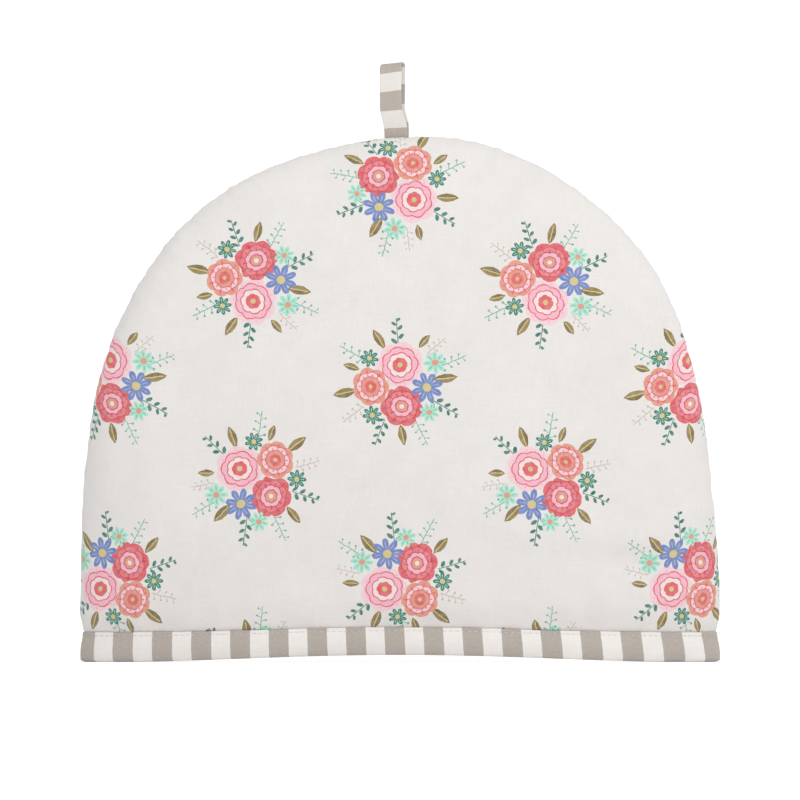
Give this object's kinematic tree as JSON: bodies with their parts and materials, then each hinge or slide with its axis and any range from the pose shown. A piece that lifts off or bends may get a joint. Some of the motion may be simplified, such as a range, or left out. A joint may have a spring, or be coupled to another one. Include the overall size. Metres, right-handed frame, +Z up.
{
  "type": "tea cosy",
  "caption": "Padded dome-shaped tea cosy with a printed cotton face, a striped binding round its open hem and a hanging loop at the crown.",
  "frame": {"origin": "centre of the bounding box in plan, on the surface that the hem rests on", "axes": "+X to the right across the width of the cosy, +Y from its front to its back, +Z up"},
  "size_m": [0.342, 0.0904, 0.321],
  "materials": {
    "front_cotton": "matt plain-weave cotton with a printed posy repeat",
    "back_cotton": "matt plain-weave cotton with a printed posy repeat",
    "binding_cotton": "matt cotton in grey and white stripes",
    "loop_cotton": "matt cotton in grey and white stripes"
  },
  "bodies": {
    "root": {"front_panel": "front_cotton", "back_panel": "back_cotton", "hem_binding": "binding_cotton", "hanging_loop": "loop_cotton"}
  },
  "joints": []
}
